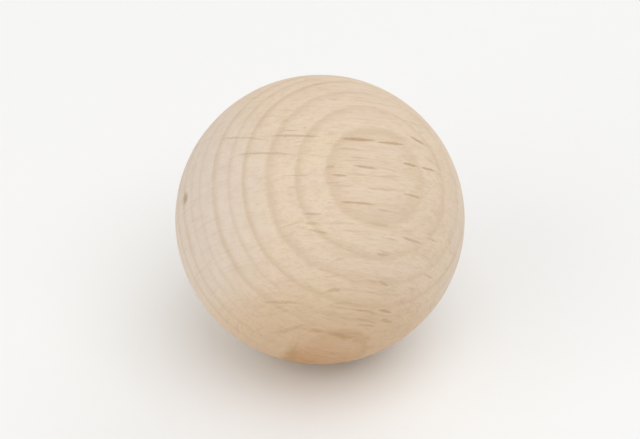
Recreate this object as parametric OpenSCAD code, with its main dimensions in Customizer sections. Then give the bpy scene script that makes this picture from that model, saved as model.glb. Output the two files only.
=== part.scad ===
// Solid wooden ball, turned from one blank of plain hardwood and sanded.
// Millimetres. The origin is the ball's centre and +Z points up. The ball
// has no bore, no flat and no foot, so its one size is its diameter.

/* [Ball] */
// Diameter across the finished ball
ball_d = 30; // [10:0.5:100]

/* [Hidden] */
// Segments round the widest circle
$fn = 128;

// The whole ball, one true sphere
module ball() {
    color("#dfcaaf")
        sphere(d = ball_d);
}

ball();
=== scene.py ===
import math

import bpy
import numpy as np
from mathutils import Matrix, Vector


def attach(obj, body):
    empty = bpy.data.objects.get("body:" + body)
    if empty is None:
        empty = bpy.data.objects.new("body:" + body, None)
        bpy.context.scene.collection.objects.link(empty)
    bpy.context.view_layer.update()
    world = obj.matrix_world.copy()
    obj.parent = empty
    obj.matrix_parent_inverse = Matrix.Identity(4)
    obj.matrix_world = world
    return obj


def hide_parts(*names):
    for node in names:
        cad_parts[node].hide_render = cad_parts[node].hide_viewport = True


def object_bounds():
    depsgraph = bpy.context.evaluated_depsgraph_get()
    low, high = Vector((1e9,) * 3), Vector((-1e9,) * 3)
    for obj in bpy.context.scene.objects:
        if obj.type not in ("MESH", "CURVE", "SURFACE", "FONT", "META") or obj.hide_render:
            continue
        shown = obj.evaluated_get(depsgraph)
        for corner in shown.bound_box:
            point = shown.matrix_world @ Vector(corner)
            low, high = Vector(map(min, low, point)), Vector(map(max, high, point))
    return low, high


bl_info = {
    "name": "Turned Wooden Ball",
    "version": (1, 0, 0),
    "blender": (4, 5, 0),
    "location": "3D View > Sidebar > Wooden Ball",
    "description": "Builds a turned and sanded hardwood ball, its solid wood grain and its stage",
    "category": "Add Mesh",
}

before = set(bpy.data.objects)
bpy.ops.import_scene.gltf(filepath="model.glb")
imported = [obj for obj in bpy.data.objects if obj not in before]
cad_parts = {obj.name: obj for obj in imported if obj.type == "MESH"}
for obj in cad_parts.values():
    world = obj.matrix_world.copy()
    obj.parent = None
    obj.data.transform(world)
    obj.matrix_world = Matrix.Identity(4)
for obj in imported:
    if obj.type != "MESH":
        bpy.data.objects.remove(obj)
CAD_LOW, CAD_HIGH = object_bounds()

MM = 0.001

# The log's own directions are along the grain, round the rings and towards the pith, the
# middle of the tree, in this order. Everything listed in them below is in millimetres.

# Slow waves that bend the growth rings. Each row is one wave in the log's own directions:
# how far it runs along the grain, round the rings and towards the pith, its length in
# millimetres, how far it moves a ring in millimetres, and where it starts in degrees.
RING_WAVES = (
    ((0.0, 0.0, 1.0), 5.8, 0.22, 265.0),
    ((0.0, 1.0, 0.0), 28.0, 0.27, 263.0),
    ((0.8, -0.6, 0.0), 15.0, 0.10, 160.0),
    ((0.9, -0.6, 0.2), 5.1, 0.03, 310.0),
)

# How dark each year's line is, from the year nearest the pith outwards. The first is the year
# before year 0.
YEAR_STRENGTH = (
    0.80, 0.80, 0.70, 0.85, 0.50, 0.75, 0.35, 0.30,
    0.60, 0.85, 0.45, 0.75, 0.55, 0.90, 0.50, 0.70,
)

# A year's line begins at one part of the year, is darkest at the next, and ends with the year.
# The higher its sharpness, the later it darkens.
LINE_BEGINS = 0.35
LINE_DARKEST = 0.85
LINE_SHARPNESS = 2.2

# Part of the year at which the harder wood begins to stand proud, up to the year's end.
RIDGE_BEGINS = 0.3

# How far the edge of a year's line wanders from side to side, in years.
RAGGED_EDGE = 0.16

# Scattered rays of two sizes: the length, width and depth of the space that each has, its half
# width and half length, and the share of the spaces that have one.
BOLD_RAYS = ((5.2, 1.7, 14.0), 0.13, 1.6, 0.5)
FINE_RAYS = ((1.5, 0.4, 9.0), 0.05, 0.7, 0.7)

# Rays that come up edge-on in the faces towards and beside the pith, and look like short
# dark dashes. Each row is the middle along the grain and round the rings, half the length,
# half the width, the turn in degrees from along the grain to round the rings, and the
# strength.
EDGE_RAYS = (
    (-2.2, 3.8, 1.8, 0.20, 0.0, 0.75),
    (1.4, 3.8, 1.8, 0.16, 4.0, 0.70),
    (5.1, 4.9, 1.0, 0.18, -14.0, 0.70),
    (-1.6, 0.7, 1.3, 0.15, -5.0, 0.60),
    (-5.2, 0.6, 0.4, 0.18, 0.0, 0.40),
    (-4.4, -0.3, 0.9, 0.14, 0.0, 0.60),
    (-2.6, -0.2, 1.3, 0.12, 2.0, 0.20),
    (-2.3, -3.1, 2.0, 0.15, -1.0, 0.55),
    (0.1, -5.0, 1.1, 0.20, -2.0, 0.20),
    (-6.7, -4.2, 0.8, 0.15, -3.0, 0.40),
    (-6.7, -5.1, 0.6, 0.14, -6.0, 0.35),
    (-6.0, -5.9, 1.0, 0.15, -15.0, 0.40),
    (-0.2, -1.5, 1.4, 0.13, -1.0, 0.35),
    (3.7, -1.6, 1.2, 0.15, -2.0, 0.50),
    (3.6, 1.7, 0.9, 0.17, 0.0, 0.65),
    (6.1, 1.8, 1.1, 0.15, 4.0, 0.65),
    (4.0, -5.9, 1.4, 0.15, -3.0, 0.45),
    (1.0, -7.7, 0.8, 0.16, 3.0, 0.40),
    (-0.9, -8.2, 1.4, 0.13, -6.0, 0.10),
    (1.8, -10.1, 0.6, 0.16, -11.0, 0.35),
    (-3.2, -11.0, 0.6, 0.16, 0.0, 0.40),
    (-5.1, -10.9, 0.7, 0.12, 0.0, 0.10),
    (-7.3, -11.6, 1.7, 0.10, -11.0, 0.35),
    (-1.6, -12.0, 0.7, 0.11, 3.0, 0.15),
    (1.0, -12.4, 1.5, 0.10, -1.0, 0.40),
    (1.5, -13.0, 1.6, 0.09, -2.0, 0.30),
    (3.2, -12.1, 1.0, 0.10, 2.0, 0.60),
    (3.9, -12.7, 0.9, 0.10, 4.0, 0.45),
    (1.7, -13.3, 1.2, 0.09, 3.0, 0.40),
    (-3.0, 2.6, 1.3, 0.12, -3.0, 0.30),
    (-2.3, 1.7, 1.0, 0.12, -1.0, 0.30),
    (1.0, 0.0, 1.3, 0.12, 5.0, 0.30),
    (7.1, 2.8, 1.1, 0.13, -8.0, 0.20),
    (-11.8, 5.0, 1.8, 0.13, -30.0, 0.35),
    (-8.0, 4.3, 2.4, 0.15, -8.0, 0.50),
    (-10.4, 2.6, 2.2, 0.14, -14.0, 0.40),
)

# The brown patch low on the front, its ochre rim and the darker flecks in it. The patch has
# its middle and its half sizes along the grain and towards the pith, and runs down under the
# ball. Each fleck has the same four numbers, its turn in degrees from along the grain to the
# pith, and a strength.
PATCH_MIDDLE = (0.2, -0.8)
PATCH_REACH = (3.9, 6.4)
PATCH_FLECKS = (
    (-0.2, 5.0, 1.9, 0.40, -2.0, 0.90),
    (-3.0, 4.8, 1.2, 0.30, 17.0, 0.60),
    (2.5, 4.7, 0.8, 0.45, -20.0, 0.45),
    (3.6, 2.5, 0.9, 0.65, -8.0, 0.55),
    (-3.0, -1.4, 2.8, 0.70, -75.0, 0.80),
    (0.5, 1.2, 2.4, 0.40, 8.0, 0.40),
    (1.8, 0.1, 1.2, 0.35, 2.0, 0.40),
)

# The thin line outside the patch's left shoulder: its own middle and half sizes.
OUTER_MIDDLE = (0.0, -1.5)
OUTER_REACH = (6.9, 8.4)

# The small dark dent in the end grain: its middle and its half sizes.
MARK_MIDDLE = (-14.9, 0.8, -0.7)
MARK_REACH = (1.4, 0.8, 1.0)

# Lengths of the slow waves that sanding leaves.
SANDING_SPANS = (7.1, 6.3, 8.3)

# Sizes of the lumps in each noise of the finish.
RAGGED_LUMPS = (2.4, 0.35, 0.35)
FADING_LUMPS = (7.0, 3.5, 3.5)
FLAKE_LUMPS = (1.3, 0.26, 6.0)
FIBRE_LUMPS = (2.2, 0.11, 0.11)
GRAIN_LUMPS = (4.5, 0.38, 0.38)
STREAK_LUMPS = (14.0, 1.3, 1.3)
TINT_LUMPS = (9.0, 2.2, 2.2)

# How far each layer of the finish covers what is under it, 0 to 1. Where the warmer, darker tint
# of the lower side is full, the grain covers more by the second number. That tint is partly the
# wood's own tone and partly painted shade.
END_GRAIN_COVER = 0.75
WARM_AND_SHADE_COVER = 0.8
STREAK_COVER = 0.22
LINE_COVER = 0.66
GRAIN_COVER = (0.36, 0.55)
FLAKE_COVER = 0.12
FIBRE_COVER = 0.21
FINE_RAY_COVER = 0.27
BOLD_RAY_COVER = 0.38
MARK_COVER = 0.72

# Where round the rings, on the front side, the warmer, darker tint of the lower side begins and
# where it is full. It is partly the wood's own tone and partly painted shade.
WARM_AND_SHADE_BEGINS = -8.0
WARM_AND_SHADE_FULL = -15.0

# Roughness of the pale wood and of the ring lines, which sanding leaves smoother, how much the
# wood shines, and the depth in metres and the strength of the finest relief.
PALE_ROUGHNESS = 0.64
LINE_ROUGHNESS = 0.58
WOOD_SHINE = 0.3
FINE_RELIEF_DEPTH = 0.02 * MM
FINE_RELIEF_STRENGTH = 0.5

# The stage. Lengths are in metres, apart from the camera's lens and sensor in millimetres, and
# the last is the strength of the light from all around.
FLOOR_HALF_WIDTH = 3.0
CAMERA_DISTANCE = 0.633
CAMERA_CLIP = (0.05, 20.0)
CAMERA_LENS = 344.0
CAMERA_SENSOR = 36.0
WORLD_LIGHT = 0.60

# The lamps: name, direction from the ball, distance and width in metres, and power in watts.
SOFTBOXES = (
    ("key_light", (0.3, -0.4, 1.2), 0.8, 0.7, 2.3),
    ("fill_light", (-1.0, -0.7, 0.7), 0.9, 0.8, 1.6),
    ("back_light", (0.7, 1.0, 0.8), 0.9, 0.8, 1.2),
)


# ---------------------------------------------------------------------------
# Settings
# ---------------------------------------------------------------------------

def paint(red, green, blue):
    """A colour picked as it shows on a screen, 0 to 255 a channel, as linear light."""
    shown = np.array((red, green, blue)) / 255.0
    low = shown / 12.92
    high = ((shown + 0.055) / 1.055) ** 2.4
    return tuple(float(value) for value in np.where(shown <= 0.04045, low, high))


class WoodenBallSettings(bpy.types.PropertyGroup):
    """Sizes and colours of the ball and its grain."""

    cells: bpy.props.IntProperty(
        name="Cells",
        description="Grid cells along each edge of the six square patches of the surface",
        default=126,
        min=8,
    )
    pith_azimuth: bpy.props.FloatProperty(
        name="Pith Azimuth",
        description="Turn from the front towards +X of the side that faced the middle of the tree",
        default=math.radians(40.0),
        subtype="ANGLE",
    )
    pith_elevation: bpy.props.FloatProperty(
        name="Pith Elevation",
        description="Height above the horizon of the side that faced the middle of the tree",
        default=math.radians(50.0),
        subtype="ANGLE",
    )
    grain_roll: bpy.props.FloatProperty(
        name="Grain Roll",
        description="Turn of the grain about the pith direction, from level",
        default=math.radians(-31.0),
        subtype="ANGLE",
    )
    pith_distance: bpy.props.FloatProperty(
        name="Pith Distance",
        description="From the ball's centre to the middle of the tree",
        default=80.0 * MM,
        unit="LENGTH",
    )
    ring_width: bpy.props.FloatProperty(
        name="Ring Width", description="One year's growth", default=1.92 * MM, unit="LENGTH"
    )
    ring_start: bpy.props.FloatProperty(
        name="Ring Start",
        description="Depth of the first whole ring below the side that faces the pith",
        default=1.30 * MM,
        unit="LENGTH",
    )
    ridge_height: bpy.props.FloatProperty(
        name="Ridge Height",
        description="How far sanding leaves the harder ring lines proud",
        default=0.008 * MM,
        unit="LENGTH",
    )
    sanding_depth: bpy.props.FloatProperty(
        name="Sanding Depth",
        description="Height of the slow waves that hand sanding leaves",
        default=0.012 * MM,
        unit="LENGTH",
    )
    mark_depth: bpy.props.FloatProperty(
        name="Mark Depth",
        description="Depth of the small dent in the end grain",
        default=0.12 * MM,
        unit="LENGTH",
    )
    view_elevation: bpy.props.FloatProperty(
        name="View Elevation",
        description="How far the camera looks down on the ball",
        default=math.radians(38.0),
        subtype="ANGLE",
    )
    early_color: bpy.props.FloatVectorProperty(
        name="Earlywood",
        description="Pale wood laid down in spring",
        default=paint(228, 209, 182),
        subtype="COLOR",
        size=3,
    )
    rosy_color: bpy.props.FloatVectorProperty(
        name="Rosy Earlywood",
        description="The pinker patches of the pale wood",
        default=paint(228, 206, 184),
        subtype="COLOR",
        size=3,
    )
    late_color: bpy.props.FloatVectorProperty(
        name="Latewood",
        description="Thin darker line that ends each year's growth",
        default=paint(203, 177, 147),
        subtype="COLOR",
        size=3,
    )
    ray_color: bpy.props.FloatVectorProperty(
        name="Rays",
        description="Flecks where the rays come to the surface",
        default=paint(176, 140, 103),
        subtype="COLOR",
        size=3,
    )
    end_color: bpy.props.FloatVectorProperty(
        name="End Grain",
        description="Greyer tint where the surface cuts across the grain",
        default=paint(225, 210, 196),
        subtype="COLOR",
        size=3,
    )
    # Partly the wood's own warmer tone and partly painted shade: it makes the lower side warmer and
    # darker.
    warm_and_shade_color: bpy.props.FloatVectorProperty(
        name="Warm Side",
        description="Warmer tint that the wood takes on towards one side",
        default=paint(212, 178, 140),
        subtype="COLOR",
        size=3,
    )
    brown_color: bpy.props.FloatVectorProperty(
        name="Brown Patch",
        description="Filter of the stained patch low on the front, over the wood's own colour",
        default=paint(236, 208, 180),
        subtype="COLOR",
        size=3,
    )
    ochre_color: bpy.props.FloatVectorProperty(
        name="Ochre",
        description="Rim and flecks of the stained patch low on the front",
        default=paint(184, 148, 104),
        subtype="COLOR",
        size=3,
    )
    mark_color: bpy.props.FloatVectorProperty(
        name="Mark",
        description="Small dark dent in the end grain",
        default=paint(164, 142, 116),
        subtype="COLOR",
        size=3,
    )
    floor_color: bpy.props.FloatVectorProperty(
        name="Floor",
        description="Plain pale floor",
        default=paint(247, 247, 246),
        subtype="COLOR",
        size=3,
    )


# ---------------------------------------------------------------------------
# The log that the ball was cut from
# ---------------------------------------------------------------------------

def log_axes(settings):
    """Unit vectors along the grain, round the rings and towards the pith, right-handed.

    The pith direction is set by its azimuth and elevation. The grain starts level, square to
    it, and is then rolled about it.
    """
    azimuth = settings.pith_azimuth
    elevation = settings.pith_elevation
    pith = Vector((
        math.sin(azimuth) * math.cos(elevation),
        -math.cos(azimuth) * math.cos(elevation),
        math.sin(elevation),
    ))
    level = Vector((0.0, 0.0, 1.0)).cross(pith).normalized()
    grain = Matrix.Rotation(settings.grain_roll, 3, pith) @ level
    return grain, pith.cross(grain), pith


def ball_radius():
    """The plain solid's radius, in millimetres: half the smallest side of its box."""
    return min(CAD_HIGH - CAD_LOW) / 2.0 / MM


def ring_number(places, settings):
    """Years counted away from the pith at each place, with fractions.

    places are in mm, in the log's own directions. The depth of a place is the pith's distance
    less the place's distance from the pith's line, plus each slow wave: its height times the
    sine of the way run along it. Year 0 begins ring_start below the side that faces the pith.
    """
    pith_distance = settings.pith_distance / MM
    depth = pith_distance - np.hypot(places[:, 1], pith_distance - places[:, 2])
    for run, length, height, start in RING_WAVES:
        turns = places @ (np.array(run) / length)
        depth = depth + height * np.sin(2.0 * math.pi * turns + math.radians(start))
    first_ring = ball_radius() - settings.ring_start / MM
    return (first_ring - depth) / (settings.ring_width / MM)


# ---------------------------------------------------------------------------
# The ball's surface
# ---------------------------------------------------------------------------

def cube_lattice(cells):
    """Corner numbers (i, j, k) of a cube's surface grid, each once, and its quads.

    Each of the six sides is a grid of two parameters. Corners that two sides share are
    merged, so the shell is closed, and the far side of each axis is wound the other way, so
    every quad faces outwards.
    """
    first, second = np.meshgrid(np.arange(cells + 1), np.arange(cells + 1), indexing="ij")
    corner = np.arange((cells + 1) ** 2).reshape(cells + 1, cells + 1)
    quad = np.stack((corner[:-1, :-1], corner[1:, :-1], corner[1:, 1:], corner[:-1, 1:]), axis=-1)
    quad = quad.reshape(-1, 4)
    sides = []
    quads = []
    for axis in range(3):
        for level, winding in ((cells, quad), (0, quad[:, ::-1])):
            side = np.empty((corner.size, 3), dtype=np.int64)
            side[:, axis] = level
            side[:, (axis + 1) % 3] = first.ravel()
            side[:, (axis + 2) % 3] = second.ravel()
            quads.append(winding + len(sides) * corner.size)
            sides.append(side)
    lattice, merged = np.unique(np.concatenate(sides), axis=0, return_inverse=True)
    return lattice, merged.ravel()[np.concatenate(quads)]


def sphere_directions(lattice, cells):
    """Unit vectors of the lattice: on a side, the tangents of two even angles, made length 1."""
    even_angle = (2.0 * lattice / cells - 1.0) * math.pi / 4.0
    spread = np.tan(even_angle)
    return spread / np.linalg.norm(spread, axis=1, keepdims=True)


def mesh_from_quads(name, points, quads):
    """A smooth-shaded mesh of points and quads, filled with foreach_set."""
    mesh = bpy.data.meshes.new(name)
    mesh.vertices.add(len(points))
    mesh.vertices.foreach_set("co", points.astype(np.float32).ravel())
    mesh.loops.add(quads.size)
    mesh.loops.foreach_set("vertex_index", quads.astype(np.int32).ravel())
    mesh.polygons.add(len(quads))
    mesh.polygons.foreach_set("loop_start", np.arange(0, quads.size, 4, dtype=np.int32))
    mesh.polygons.foreach_set("use_smooth", np.ones(len(quads), dtype=bool))
    mesh.update(calc_edges=True)
    mesh.validate()
    return mesh


def relief(places, settings):
    """How far the surface stands out at each place, in mm; places as in ring_number.

    The harder wood is a little proud: one cosine hump from RIDGE_BEGINS to the year's end.
    Sanding leaves slow waves: products of two sines along different directions. The mark is
    a round-bottomed dent: one less the squared distance from its middle, in its own half
    sizes, and nothing outside it.
    """
    season = ring_number(places, settings) % 1.0
    ridge_part = np.clip((season - RIDGE_BEGINS) / (1.0 - RIDGE_BEGINS), 0.0, 1.0)
    ridge = 0.5 - 0.5 * np.cos(2.0 * math.pi * ridge_part)
    along, around, inward = (2.0 * math.pi * places / np.array(SANDING_SPANS)).T
    waves = np.sin(along) * np.sin(around + 1.0) + np.sin(inward + 2.0) * np.sin(around + 0.5)
    off = (places - np.array(MARK_MIDDLE)) / np.array(MARK_REACH)
    dent = np.clip(1.0 - np.sum(off * off, axis=1), 0.0, 1.0)
    proud = settings.ridge_height * ridge + 0.5 * settings.sanding_depth * waves
    return (proud - settings.mark_depth * dent) / MM


def turned_sphere(settings):
    """The ball's mesh: the solid's sphere with its relief, whose highest point just reaches it."""
    lattice, quads = cube_lattice(settings.cells)
    directions = sphere_directions(lattice, settings.cells)
    places = directions @ np.array(log_axes(settings)).T * ball_radius()
    height = relief(places, settings)
    radius = ball_radius() + height - height.max()
    return mesh_from_quads("ball_surface", directions * radius[:, None] * MM, quads)


# ---------------------------------------------------------------------------
# The wood's finish
# ---------------------------------------------------------------------------

class Wiring:
    """Adds nodes to one node tree and links them, so that a finish reads as a list of steps."""

    def __init__(self, tree):
        self.nodes = tree.nodes
        self.links = tree.links

    def plug(self, socket, value):
        """Links value into socket if it is another node's output, and sets it otherwise."""
        if isinstance(value, bpy.types.NodeSocket):
            self.links.new(value, socket)
        else:
            socket.default_value = value

    def add(self, kind, inputs, **choices):
        """A node with its choices set and its inputs filled, by name or by number."""
        node = self.nodes.new(kind)
        for choice, value in choices.items():
            setattr(node, choice, value)
        for key, value in inputs.items():
            self.plug(node.inputs[key], value)
        return node

    def math(self, operation, *values):
        """One Math node's result."""
        return self.add("ShaderNodeMath", dict(enumerate(values)), operation=operation).outputs[0]

    def vector(self, operation, *values):
        """One Vector Math node's vector."""
        node = self.add("ShaderNodeVectorMath", dict(enumerate(values)), operation=operation)
        return node.outputs[0]

    def dot(self, first, second):
        """The dot product of two vectors."""
        node = self.add("ShaderNodeVectorMath", {0: first, 1: second}, operation="DOT_PRODUCT")
        return node.outputs["Value"]

    def split(self, vector):
        """The three parts of a vector."""
        return self.add("ShaderNodeSeparateXYZ", {0: vector}).outputs[:]

    def join(self, x, y, z):
        """A vector from its three parts."""
        return self.add("ShaderNodeCombineXYZ", {0: x, 1: y, 2: z}).outputs[0]

    def step(self, value, low, high, start=0.0, end=1.0):
        """A smooth step from start, at low, to end, at high.

        It stays between the two by itself. The node's own clamp is off, because with it a finish
        this long no longer fits in what the renderer holds at once, and turns black.
        """
        inputs = {"Value": value, "From Min": low, "From Max": high, "To Min": start, "To Max": end}
        choices = {"interpolation_type": "SMOOTHSTEP", "clamp": False}
        return self.add("ShaderNodeMapRange", inputs, **choices).outputs[0]

    def noise(self, place, lumps, detail=2.0, roughness=0.5):
        """Smooth noise from 0 to 1 with lumps of that size, in mm along each direction."""
        vector = self.vector("DIVIDE", place, lumps)
        inputs = {"Vector": vector, "Scale": 1.0, "Detail": detail, "Roughness": roughness}
        return self.add("ShaderNodeTexNoise", inputs).outputs["Fac"]

    def blend(self, share, first, second, kind="MIX"):
        """A colour that goes from first to second as share goes from 0 to 1.

        With kind MULTIPLY it goes to first seen through a filter of the second colour.
        """
        inputs = {"Factor": share, 6: first, 7: second}
        return self.add("ShaderNodeMix", inputs, data_type="RGBA", blend_type=kind).outputs[2]


def opaque(color):
    """A colour's three numbers and a full alpha."""
    return (*color, 1.0)


def log_place(wire, settings):
    """The shaded point in mm, in the log's own directions."""
    coordinates = wire.nodes.new("ShaderNodeTexCoord")
    inputs = {
        "Vector": coordinates.outputs["Object"],
        "Rotation": Matrix(log_axes(settings)).to_euler(),
        "Scale": (1.0 / MM,) * 3,
    }
    return wire.add("ShaderNodeMapping", inputs, vector_type="POINT").outputs[0]


def ring_number_nodes(wire, place, settings):
    """The same count of years as ring_number, made of nodes, with a slightly ragged edge."""
    pith_distance = settings.pith_distance / MM
    _, around, inward = wire.split(place)
    to_pith = wire.math("SUBTRACT", pith_distance, inward)
    squared = wire.math("MULTIPLY_ADD", to_pith, to_pith, wire.math("MULTIPLY", around, around))
    depth = wire.math("SUBTRACT", pith_distance, wire.math("SQRT", squared))
    for run, length, height, start in RING_WAVES:
        turn = tuple(2.0 * math.pi * part / length for part in run)
        angle = wire.math("ADD", wire.dot(place, turn), math.radians(start))
        depth = wire.math("MULTIPLY_ADD", wire.math("SINE", angle), height, depth)
    first_ring = ball_radius() - settings.ring_start / MM
    years = wire.math("DIVIDE", wire.math("SUBTRACT", first_ring, depth), settings.ring_width / MM)
    ragged = wire.math("SUBTRACT", wire.noise(place, RAGGED_LUMPS), 0.5)
    return wire.math("MULTIPLY_ADD", ragged, RAGGED_EDGE, years)


def season_line(wire, place, settings):
    """How dark the ring lines are, 0 to 1: a slow rise late in the year and a quicker fall.

    A ramp of even steps, one to a year, holds how dark each year's line is. It is read at the
    middle of the year's step, one and a half steps on from the year's number, because the
    first step is for the year before year 0. The lines fade a little along the grain and in
    slow patches.
    """
    years = ring_number_nodes(wire, place, settings)
    season = wire.math("FRACT", years)
    rise = wire.math("POWER", wire.step(season, LINE_BEGINS, LINE_DARKEST), LINE_SHARPNESS)
    line = wire.math("MULTIPLY", rise, wire.step(season, LINE_DARKEST, 1.0, 1.0, 0.0))

    count = len(YEAR_STRENGTH)
    middle_of_step = wire.math("ADD", wire.math("FLOOR", years), 1.5)
    ramp = wire.add("ShaderNodeValToRGB", {0: wire.math("DIVIDE", middle_of_step, count)})
    ramp.color_ramp.interpolation = "CONSTANT"
    stops = ramp.color_ramp.elements
    stops.remove(stops[1])
    stops[0].color = (YEAR_STRENGTH[0],) * 3 + (1.0,)
    for year in range(1, count):
        stops.new(year / count).color = (YEAR_STRENGTH[year],) * 3 + (1.0,)

    patches = wire.noise(place, FADING_LUMPS)
    fade = wire.step(wire.split(place)[0], -2.0, 6.0, 1.0, 0.66)
    fade = wire.math("MULTIPLY", fade, wire.step(patches, 0.3, 0.7, 0.72, 1.0))
    return wire.math("MULTIPLY", wire.math("MULTIPLY", line, ramp.outputs[0]), fade)


def scattered_rays(wire, place, settings, gap, half_width, half_length, share):
    """Where scattered rays of one size come to the surface, 0 to 1.

    A ray is a thin upright lens in the plane of the grain and the pith. Space is cut into
    cells that are gap millimetres long, wide and deep, with one ray at each cell's point. The
    lens is widest there and closes to nothing 0.4 to 1 of half_length away along the grain,
    and its strength is 0.3 to 1. share is the part of the cells that have a ray.
    """
    pith_distance = settings.pith_distance / MM
    along, around, inward = wire.split(place)
    to_pith = wire.math("SUBTRACT", pith_distance, inward)
    arc = wire.math("MULTIPLY", wire.math("ARCTAN2", around, to_pith), pith_distance)
    grid = wire.vector("DIVIDE", wire.join(along, arc, inward), gap)
    cell = wire.add("ShaderNodeTexVoronoi", {"Vector": grid, "Scale": 1.0})
    off = wire.vector("MULTIPLY", wire.vector("SUBTRACT", grid, cell.outputs["Position"]), gap)
    off_along, off_arc, _ = wire.split(off)
    chance, stretch, weight = wire.split(cell.outputs["Color"])
    reach = wire.math("MULTIPLY_ADD", stretch, 0.6 * half_length, 0.4 * half_length)
    run = wire.math("DIVIDE", off_along, reach)
    lens = wire.math("SUBTRACT", 1.0, wire.math("MULTIPLY", run, run))
    width = wire.math("MULTIPLY", lens, half_width)
    inside = wire.math("SUBTRACT", width, wire.math("ABSOLUTE", off_arc))
    edge = wire.step(inside, 0.0, 0.8 * half_width)
    present = wire.math("LESS_THAN", chance, share)
    strength = wire.math("MULTIPLY_ADD", weight, 0.7, 0.3)
    return wire.math("MULTIPLY", wire.math("MULTIPLY", edge, present), strength)


def own_distance(wire, place, middle, reach, turn=0.0):
    """The distance from middle, counted in reach each way, after a turn in degrees about z."""
    inputs = {
        "Vector": place,
        "Location": middle,
        "Rotation": (0.0, 0.0, math.radians(turn)),
        "Scale": reach,
    }
    off = wire.add("ShaderNodeMapping", inputs, vector_type="TEXTURE").outputs[0]
    return wire.add("ShaderNodeVectorMath", {0: off}, operation="LENGTH").outputs["Value"]


def listed_spots(wire, first, second, rows, core):
    """The strongest of the soft spots in rows, on a plane of two coordinates.

    Each row is the middle, two half sizes, a turn in degrees and a strength. A spot is full
    inside core, a share of its reach, and nothing past its reach. It is half as strong midway
    between, and its reach puts that at 0.9 of its half sizes.
    """
    flat = wire.join(first, second, 0.0)
    midway = (1.0 + core) / 2.0
    spread = 0.9 / midway
    found = 0.0
    for x, y, half_length, half_width, turn, strength in rows:
        reach = (spread * half_length, spread * half_width, 1.0)
        distance = own_distance(wire, flat, (x, y, 0.0), reach, turn)
        found = wire.math("MAXIMUM", wire.step(distance, 1.0, core, 0.0, strength), found)
    return found


def shaken(wire, place, span, reach):
    """The place moved by up to half of reach each way, by noise with lumps of that span in mm."""
    noise = wire.add("ShaderNodeTexNoise", {"Vector": place, "Scale": 1.0 / span, "Detail": 2.0})
    centred = wire.vector("SUBTRACT", noise.outputs["Color"], (0.5, 0.5, 0.5))
    return wire.vector("MULTIPLY_ADD", centred, reach, place)


def edge_on_rays(wire, place):
    """The edge-on rays listed at the top, 0 to 1.

    Each runs straight through the wood towards the pith, and shows on the pith's side only.
    """
    along, around, inward = wire.split(shaken(wire, place, 0.8, (0.7, 0.16, 0.0)))
    found = listed_spots(wire, along, around, EDGE_RAYS, 0.5)
    return wire.math("MULTIPLY", found, wire.math("GREATER_THAN", inward, 0.0))


def rim(wire, distance, inner, soft):
    """Full from inner to 1 in an ellipse's own half sizes, with edges that are soft wide."""
    inner_edge = wire.step(distance, inner - soft, inner + soft)
    return wire.math("MULTIPLY", inner_edge, wire.step(distance, 1.0, 1.0 + soft, 1.0, 0.0))


def low_patch(wire, place, fibres):
    """How brown and how ochre the low front is, 0 to 1 each, from the patch listed at the top.

    The patch and its flecks lie in the plane of the grain and the pith. They run straight
    through the wood round the rings, and show on the low front side only. The brown inside
    deepens towards the bottom and the left, and fades out again under the ball. The ochre rim
    is weaker at its left shoulder and fades down its legs. The thin outer line shows at the
    left shoulder only. fibres, 0 to 1, comb all of it along the grain.
    """
    along, around, inward = wire.split(shaken(wire, place, 1.6, (1.0, 0.0, 0.9)))
    flat = wire.join(along, inward, 0.0)
    distance = own_distance(wire, flat, (*PATCH_MIDDLE, 0.0), (*PATCH_REACH, 1.0))
    brown = wire.step(distance, 1.15, 0.70)
    brown = wire.math("MULTIPLY", brown, wire.step(inward, 5.0, -3.0, 0.25, 1.0))
    brown = wire.math("MULTIPLY", brown, wire.step(inward, -8.0, -3.5))
    brown = wire.math("MULTIPLY", brown, wire.step(along, -1.0, 1.5, 1.0, 0.65))

    ochre = rim(wire, distance, 0.84, 0.12)
    ochre = wire.math("MULTIPLY", ochre, wire.step(inward, -5.0, 1.0, 0.0, 0.4))
    ochre = wire.math("MULTIPLY", ochre, wire.step(along, -3.5, -0.5, 0.35, 1.0))
    ochre = wire.math("MAXIMUM", listed_spots(wire, along, inward, PATCH_FLECKS, 0.0), ochre)

    outer = own_distance(wire, flat, (*OUTER_MIDDLE, 0.0), (*OUTER_REACH, 1.0))
    line = rim(wire, outer, 0.95, 0.03)
    line = wire.math("MULTIPLY", line, wire.step(along, -4.8, -3.2, 0.35, 0.0))
    line = wire.math("MULTIPLY", line, wire.step(inward, 0.0, 3.0))
    ochre = wire.math("MAXIMUM", line, ochre)

    combed = wire.step(fibres, 0.32, 0.64, 0.55, 1.1)
    combed = wire.math("MULTIPLY", combed, wire.math("LESS_THAN", around, 0.0))
    return wire.math("MULTIPLY", brown, combed), wire.math("MULTIPLY", ochre, combed)


def ground_color(wire, place, end_on, warm_and_shade, settings):
    """Pale wood: pinker in slow patches, greyer on the end grain, and warmer and darker on the lower
    side, which is partly the wood's own tone and partly painted shade.
    """
    rosy = wire.step(wire.noise(place, TINT_LUMPS, detail=4.0, roughness=0.6), 0.35, 0.65)
    color = wire.blend(rosy, opaque(settings.early_color), opaque(settings.rosy_color))
    end_grain = wire.step(end_on, 0.55, 0.95, 0.0, END_GRAIN_COVER)
    color = wire.blend(end_grain, color, opaque(settings.end_color))
    return wire.blend(warm_and_shade, color, opaque(settings.warm_and_shade_color))


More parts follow.
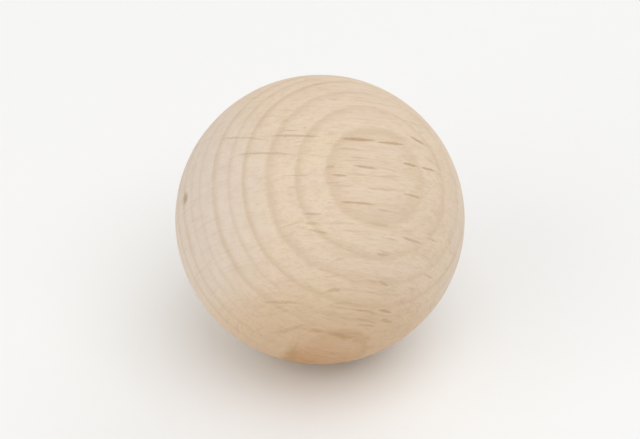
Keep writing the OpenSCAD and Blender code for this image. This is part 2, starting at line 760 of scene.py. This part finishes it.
def grain_over(wire, color, place, line, side_on, warm_and_shade, settings):
    """That colour under long streaks, the ring lines and the shorter dark grain."""
    late = opaque(settings.late_color)
    streak = wire.step(wire.noise(place, STREAK_LUMPS), 0.35, 0.8, 0.0, STREAK_COVER)
    color = wire.blend(streak, color, late)
    color = wire.blend(wire.math("MULTIPLY", line, LINE_COVER), color, late)
    grain = wire.noise(place, GRAIN_LUMPS, detail=3.0, roughness=0.6)
    grain = wire.math("MULTIPLY", wire.step(grain, 0.42, 0.75), side_on)
    # The grain covers more where the warmer, darker tint of the lower side is, which is partly painted
    # shade.
    plain_cover, warm_and_shade_gain = GRAIN_COVER
    cover = wire.math("MULTIPLY_ADD", warm_and_shade, warm_and_shade_gain, plain_cover)
    return wire.blend(wire.math("MULTIPLY", grain, cover), color, late)


def raw_hardwood(settings):
    """Raw sanded hardwood as a solid: growth rings, rays, fibres and slow changes of tint.

    end_on is 1 where the surface cuts straight across the grain. side_on and flat_on weaken
    the grain and the rays where the surface turns end-on or round the rings. wandering is the
    place, shaken so that rays don't run dead straight. Fibres and bold rays lie a little low.
    """
    material = bpy.data.materials.new("raw_hardwood")
    material.use_nodes = True
    wire = Wiring(material.node_tree)
    shader = wire.nodes["Principled BSDF"]
    ray_color = opaque(settings.ray_color)

    place = log_place(wire, settings)
    out_along, out_around, _ = wire.split(wire.vector("NORMALIZE", place))
    end_on = wire.math("ABSOLUTE", out_along)
    side_on = wire.step(end_on, 0.5, 0.85, 1.0, 0.3)
    flat_on = wire.step(wire.math("ABSOLUTE", out_around), 0.6, 0.9, 1.0, 0.4)
    # A warmer, darker tint on the lower side: partly the wood's own tone and partly painted shade.
    warm_and_shade = wire.step(wire.split(place)[1], WARM_AND_SHADE_BEGINS, WARM_AND_SHADE_FULL, 0.0, WARM_AND_SHADE_COVER)
    line = season_line(wire, place, settings)
    color = ground_color(wire, place, end_on, warm_and_shade, settings)
    color = grain_over(wire, color, place, line, side_on, warm_and_shade, settings)

    wandering = shaken(wire, place, 2.5, (0.0, 0.7, 0.0))
    flakes = wire.step(wire.noise(wandering, FLAKE_LUMPS), 0.5, 0.75, 0.0, FLAKE_COVER)
    color = wire.blend(flakes, color, ray_color)
    fibre = wire.noise(place, FIBRE_LUMPS, detail=3.0, roughness=0.6)
    color = wire.blend(wire.step(fibre, 0.5, 0.75, 0.0, FIBRE_COVER), color, ray_color)
    fine = scattered_rays(wire, wandering, settings, *FINE_RAYS)
    fine = wire.math("MULTIPLY", fine, side_on)
    color = wire.blend(wire.math("MULTIPLY", fine, FINE_RAY_COVER), color, ray_color)

    brown, ochre = low_patch(wire, place, fibre)
    color = wire.blend(brown, color, opaque(settings.brown_color), "MULTIPLY")
    bold = scattered_rays(wire, wandering, settings, *BOLD_RAYS)
    bold = wire.math("MULTIPLY", wire.math("MULTIPLY", bold, side_on), flat_on)
    edge_on = edge_on_rays(wire, place)
    edge_on = wire.math("MULTIPLY", edge_on, wire.step(fibre, 0.3, 0.6, 0.6, 1.0))
    rays = wire.math("MAXIMUM", wire.math("MULTIPLY", bold, BOLD_RAY_COVER), edge_on)
    color = wire.blend(rays, color, ray_color)
    color = wire.blend(ochre, color, opaque(settings.ochre_color))

    ragged_place = shaken(wire, place, 0.5, (0.7, 0.7, 0.7))
    mark = own_distance(wire, ragged_place, MARK_MIDDLE, MARK_REACH)
    mark = wire.step(mark, 1.15, 0.1, 0.0, MARK_COVER)
    color = wire.blend(mark, color, opaque(settings.mark_color))
    wire.plug(shader.inputs["Base Color"], color)

    smoother = LINE_ROUGHNESS - PALE_ROUGHNESS
    roughness = wire.math("MULTIPLY_ADD", line, smoother, PALE_ROUGHNESS)
    wire.plug(shader.inputs["Roughness"], roughness)
    shader.inputs["Specular IOR Level"].default_value = WOOD_SHINE
    height = wire.math("MULTIPLY_ADD", bold, -0.3, wire.math("MULTIPLY", fibre, -1.0))
    inputs = {"Height": height, "Strength": FINE_RELIEF_STRENGTH, "Distance": FINE_RELIEF_DEPTH}
    wire.plug(shader.inputs["Normal"], wire.add("ShaderNodeBump", inputs).outputs[0])
    return material


# ---------------------------------------------------------------------------
# The ball and its stage
# ---------------------------------------------------------------------------

def add_object(name, data):
    """A new object at the origin of the scene, with that mesh, lamp or camera."""
    piece = bpy.data.objects.new(name, data)
    bpy.context.scene.collection.objects.link(piece)
    return piece


def aim_from(piece, direction, distance):
    """Puts a lamp or camera that far from the ball's middle, looking at it."""
    direction = direction.normalized()
    piece.location = direction * distance
    piece.rotation_euler = direction.to_track_quat("Z", "Y").to_euler()


class WOODBALL_OT_make_ball(bpy.types.Operator):
    """Make the turned and sanded ball, in place of the plain solid"""

    bl_idname = "woodball.make_ball"
    bl_label = "Make Ball"

    def execute(self, context):
        settings = context.scene.wooden_ball
        mesh = turned_sphere(settings)
        mesh.materials.append(raw_hardwood(settings))
        ball = add_object("turned_ball", mesh)
        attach(ball, "root")
        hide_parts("ball")
        return {"FINISHED"}


def floor_finish(color):
    """Plain matt floor."""
    material = bpy.data.materials.new("pale_floor")
    material.use_nodes = True
    shader = material.node_tree.nodes["Principled BSDF"]
    shader.inputs["Base Color"].default_value = opaque(color)
    shader.inputs["Roughness"].default_value = 0.9
    shader.inputs["Specular IOR Level"].default_value = 0.1
    return material


def floor_sheet(color):
    """A square floor at the height of the plain solid's lowest point."""
    half = FLOOR_HALF_WIDTH
    corners = [(x * half, y * half, CAD_LOW.z) for x, y in ((-1, -1), (1, -1), (1, 1), (-1, 1))]
    mesh = bpy.data.meshes.new("floor")
    mesh.from_pydata(corners, [], [(0, 1, 2, 3)])
    mesh.materials.append(floor_finish(color))
    return add_object("floor", mesh)


def white_studio(strength):
    """A world that lights with that strength, and is plain white where it is looked at."""
    world = bpy.data.worlds.new("white_studio")
    world.use_nodes = True
    wire = Wiring(world.node_tree)
    background = wire.nodes["Background"]
    background.inputs["Color"].default_value = (1.0, 1.0, 1.0, 1.0)
    ray = wire.nodes.new("ShaderNodeLightPath").outputs
    seen = wire.math("MAXIMUM", ray["Is Camera Ray"], ray["Is Glossy Ray"])
    seen = wire.math("MAXIMUM", seen, ray["Is Transmission Ray"])
    wire.plug(background.inputs["Strength"], wire.math("MULTIPLY_ADD", seen, 1.0 - strength, strength))
    return world


def softbox(name, direction, distance, width, power):
    """A square area light of that width, aimed at the ball from a direction."""
    data = bpy.data.lights.new(name, "AREA")
    data.size = width
    data.energy = power
    aim_from(add_object(name, data), Vector(direction), distance)


def studio_camera(elevation):
    """A long lens in front of the ball that looks down on it by that angle."""
    data = bpy.data.cameras.new("camera")
    data.lens = CAMERA_LENS
    data.sensor_width = CAMERA_SENSOR
    data.clip_start, data.clip_end = CAMERA_CLIP
    camera = add_object("camera", data)
    back = Vector((0.0, -math.cos(elevation), math.sin(elevation)))
    aim_from(camera, back, CAMERA_DISTANCE)
    return camera


class WOODBALL_OT_make_stage(bpy.types.Operator):
    """Make the floor, the soft studio light and the camera"""

    bl_idname = "woodball.make_stage"
    bl_label = "Make Stage"

    def execute(self, context):
        settings = context.scene.wooden_ball
        floor_sheet(settings.floor_color)
        for row in SOFTBOXES:
            softbox(*row)
        context.scene.world = white_studio(WORLD_LIGHT)
        context.scene.camera = studio_camera(settings.view_elevation)
        context.scene.view_settings.view_transform = "Standard"
        return {"FINISHED"}


class WOODBALL_PT_panel(bpy.types.Panel):
    """Settings and builders of the wooden ball"""

    bl_idname = "WOODBALL_PT_panel"
    bl_label = "Wooden Ball"
    bl_space_type = "VIEW_3D"
    bl_region_type = "UI"
    bl_category = "Wooden Ball"

    def draw(self, context):
        settings = context.scene.wooden_ball
        for name in settings.bl_rna.properties.keys():
            if name not in {"rna_type", "name"}:
                self.layout.prop(settings, name)
        self.layout.operator(WOODBALL_OT_make_ball.bl_idname)
        self.layout.operator(WOODBALL_OT_make_stage.bl_idname)


CLASSES = (WoodenBallSettings, WOODBALL_OT_make_ball, WOODBALL_OT_make_stage, WOODBALL_PT_panel)


def register():
    """Registers every class and hangs the settings on the scene."""
    for cls in CLASSES:
        bpy.utils.register_class(cls)
    bpy.types.Scene.wooden_ball = bpy.props.PointerProperty(type=WoodenBallSettings)


def unregister():
    """Takes back what register did."""
    del bpy.types.Scene.wooden_ball
    for cls in reversed(CLASSES):
        bpy.utils.unregister_class(cls)


def main():
    """Builds the ball and its stage."""
    register()
    bpy.ops.woodball.make_ball()
    bpy.ops.woodball.make_stage()


if __name__ == "__main__":
    main()
